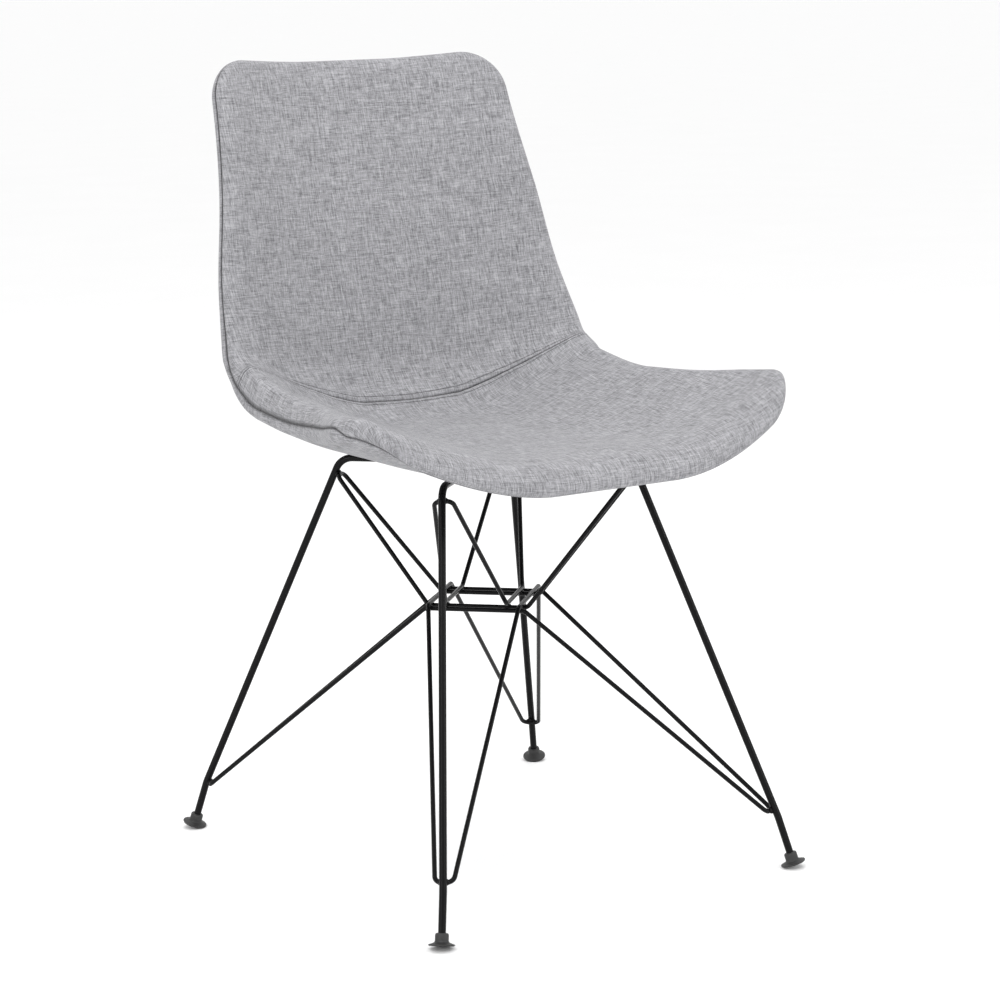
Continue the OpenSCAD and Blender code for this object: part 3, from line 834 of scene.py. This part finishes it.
def one_stitch(line_at, normal_at, begin):
    """Rings of points round one stitch, which dips into the cloth at its ends."""
    look = 0.3 * MM
    for ring in range(STITCH_RINGS):
        share = ring / (STITCH_RINGS - 1)
        distance = begin + STITCH_LENGTH * share
        out = unit(normal_at(distance))
        ahead = unit(line_at(distance + look) - line_at(distance - look), least=1e-9)
        side = np.cross(out, ahead)
        arch = math.sin(math.pi * share)
        centre = line_at(distance) + out * THREAD_RADIUS * (STITCH_ARCH * arch - STITCH_SINK)
        width = THREAD_RADIUS * (STITCH_TIP + (1 - STITCH_TIP) * arch)
        for k in range(STITCH_SIDES):
            angle = 2 * math.pi * k / STITCH_SIDES
            yield centre + (side * math.cos(angle) + out * math.sin(angle)) * width


def stitch_faces(first):
    """Faces of a stitch whose points start at this number: its sides and its two ends."""
    for ring in range(STITCH_RINGS - 1):
        for k in range(STITCH_SIDES):
            a = first + ring * STITCH_SIDES + k
            b = first + ring * STITCH_SIDES + (k + 1) % STITCH_SIDES
            yield a, b, b + STITCH_SIDES, a + STITCH_SIDES
    last = first + (STITCH_RINGS - 1) * STITCH_SIDES
    yield [first + k for k in reversed(range(STITCH_SIDES))]
    yield [last + k for k in range(STITCH_SIDES)]


def stitch_row(name, line, normals):
    """Row of short stitches along a line of points."""
    steps = np.linalg.norm(np.diff(line, axis=0), axis=1)
    length = np.concatenate([[0], np.cumsum(steps)])

    def line_at(distance):
        return np.array([np.interp(distance, length, line[:, k]) for k in range(3)])

    def normal_at(distance):
        return np.array([np.interp(distance, length, normals[:, k]) for k in range(3)])

    points, faces = [], []
    for number in range(int(length[-1] / STITCH_PITCH)):
        faces.extend(stitch_faces(len(points)))
        points.extend(one_stitch(line_at, normal_at, number * STITCH_PITCH))
    piece = new_piece(name, [tuple(p) for p in points], faces)
    give(piece, THREAD)
    return piece


OUTER_SEAM = 100 * MM
seat_pad, seat_line, seat_out = make_pad("seat_pad", FRONT_END, SEAM_DISTANCE, "end")
back_pad, back_line, back_out = make_pad("back_pad", SEAM_DISTANCE, BACK_END, "start")
outer_seat = make_outer("outer_seat_fabric", FRONT_END, OUTER_SEAM, "end")
outer_back = make_outer("outer_back_fabric", OUTER_SEAM, BACK_END, "start")
seat_stitches = stitch_row("seat_stitches", seat_line, seat_out)
back_stitches = stitch_row("back_stitches", back_line, back_out)
for piece in (seat_pad, back_pad, outer_seat, outer_back, seat_stitches, back_stitches):
    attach(piece, BODY)
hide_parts("seat_cover", "seat_foam")
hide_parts("back_cover", "back_foam")
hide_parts("outer_seat_cover")
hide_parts("outer_back_cover")

# ---------- CAD nodes that keep their shape ----------
NODE_MATERIALS = {"powder_steel": COAT, "foot_plastic": FOOT_PLASTIC, "pad_rubber": PAD_RUBBER,
                  "zinc_steel": ZINC, "moulded_shell": SHELL_PLASTIC}
for part in frame["record"]["subparts"]:
    if part["material_slot"] in NODE_MATERIALS:
        node = frame["nodes"][part["node"]]
        give(node, NODE_MATERIALS[part["material_slot"]])


# ---------- welds ----------
# The rods' own sizes, as in the design. Where front and rear differ, -1 is front and 1 is rear.
ROD_RUN_Z = SEAT_UNDERSIDE - 10 * MM
LEG_RADIUS = 4 * MM
BRACE_RADIUS = 2.5 * MM
KNEE_Z = 55 * MM
KNEE_INSET = 18 * MM
FOOT_X = {-1: 225 * MM, 1: 235 * MM}
FOOT_Y = 261 * MM
SHOULDER_X = {-1: 121 * MM, 1: 111 * MM}
SHOULDER_Y = 113 * MM
UPPER_WELD_Z = {-1: ROD_RUN_Z - 12 * MM, 1: ROD_RUN_Z - 16 * MM}
LOWER_WELD_Z = {-1: KNEE_Z + 9 * MM, 1: KNEE_Z + 1 * MM}
RING_Z = 281 * MM
RING_INNER = 34 * MM
RING_OUTER = 50 * MM
# Half sizes of the weld beads: towards the middle of the base, across, and along the rod.
LEG_BEAD = (3.2 * MM, 6.5 * MM, 4.2 * MM)
CROSSING_BEAD = (3.4 * MM, 3.4 * MM, 1.6 * MM)
# Unevenness of a bead: its share of the size, and radians a metre up and across.
WOBBLE = 0.06
WOBBLE_UP = 1900
WOBBLE_ACROSS = 1500


def leg_weld(side_x, side_y, z):
    """Where a brace touches the inside of a leg, and the leg's direction there."""
    foot = Vector((side_x * FOOT_X[side_y], side_y * FOOT_Y, 0))
    out = foot.normalized()
    knee = foot - out * KNEE_INSET + Vector((0, 0, KNEE_Z))
    top = Vector((side_x * SHOULDER_X[side_y], side_y * SHOULDER_Y, ROD_RUN_Z))
    along = (top - knee).normalized()
    inward = (along * out.dot(along) - out).normalized()
    place = knee.lerp(top, (z - KNEE_Z) / (ROD_RUN_Z - KNEE_Z)) + inward * LEG_RADIUS
    return place + Vector((0, BASE_SHIFT_Y, 0)), inward, along


def crossings():
    """Middles of the four crossings of the upper braces and the four of the lower ones."""
    for reach in (RING_INNER, RING_OUTER):
        corner = reach * math.sqrt(2)
        for x, y in ((corner, 0), (-corner, 0), (0, corner), (0, -corner)):
            yield Vector((x, y + BASE_SHIFT_Y, RING_Z + BRACE_RADIUS))


def bead(shape, place, inward, along, size):
    """A small uneven drop of weld metal."""
    turn = Matrix((inward, along.cross(inward), along)).transposed().to_4x4()
    matrix = Matrix.Translation(place) @ turn @ Matrix.Diagonal((*size, 1))
    made = bmesh.ops.create_uvsphere(shape, u_segments=14, v_segments=10, radius=1, matrix=matrix)
    for vertex in made["verts"]:
        off = vertex.co - place
        wave = math.sin(WOBBLE_UP * off.z) * math.cos(WOBBLE_ACROSS * off.x)
        vertex.co = place + off * (1 + WOBBLE * wave)


def make_welds():
    shape = bmesh.new()
    for side_x in (-1, 1):
        for side_y in (-1, 1):
            for height in (UPPER_WELD_Z, LOWER_WELD_Z):
                place, inward, along = leg_weld(side_x, side_y, height[side_y])
                bead(shape, place, inward, along, LEG_BEAD)
    for place in crossings():
        bead(shape, place, Vector((1, 0, 0)), Vector((0, 0, 1)), CROSSING_BEAD)
    for face in shape.faces:
        face.smooth = True
    mesh = bpy.data.meshes.new("weld_beads")
    shape.to_mesh(mesh)
    shape.free()
    piece = into_scene("weld_beads", mesh)
    give(piece, COAT)
    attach(piece, BODY)


make_welds()

# ---------- studio ----------
FLOOR_SIZE = 200
FLOOR_COLOUR = (0.94, 0.94, 0.94)
FLOOR_MOTTLE = 0.01
WORLD_STRENGTH = 1.03
LIGHT_AIM = (0, 0, 0.5)
# Each light's name, place, width, height and watts.
LIGHTS = [("key", (-1.6, -1.6, 2.6), 1.6, 1.6, 22),
          ("fill", (2.2, -1.8, 1.6), 2.0, 2.0, 10),
          ("top", (0.2, 0.3, 2.8), 2.0, 2.0, 26),
          ("strip_left", (-2.6, -0.9, 1.2), 0.10, 1.6, 11),
          ("strip_right", (1.2, -2.8, 1.1), 0.10, 1.6, 11)]


def make_floor():
    half = FLOOR_SIZE / 2
    mesh = bpy.data.meshes.new("floor")
    mesh.from_pydata([(-half, -half, 0), (half, -half, 0), (half, half, 0), (-half, half, 0)], [],
                     [(0, 1, 2, 3)])
    floor = into_scene("floor", mesh)
    n = Nodes("floor")
    mottle = n.noise(n.object_place(), scale=3.0, detail=2.0)
    lighter = [part + FLOOR_MOTTLE for part in FLOOR_COLOUR]
    n.colour(n.ramp(mottle, (0.3, FLOOR_COLOUR), (0.7, lighter)))
    n.set(Roughness=0.8, Specular_IOR_Level=0.1)
    give(floor, n.material)


def make_light(name, place, width, height, power):
    data = bpy.data.lights.new(name, "AREA")
    data.shape = "RECTANGLE"
    data.size = width
    data.size_y = height
    data.energy = power
    light = into_scene(name, data)
    light.location = place
    towards = Vector(LIGHT_AIM) - Vector(place)
    light.rotation_euler = towards.to_track_quat("-Z", "Y").to_euler()


def make_studio():
    make_floor()
    world = bpy.data.worlds.new("studio")
    bpy.context.scene.world = world
    world.use_nodes = True
    background = world.node_tree.nodes["Background"]
    background.inputs["Color"].default_value = (1, 1, 1, 1)
    background.inputs["Strength"].default_value = WORLD_STRENGTH
    for light in LIGHTS:
        make_light(*light)
    bpy.context.scene.view_settings.view_transform = "Standard"


make_studio()
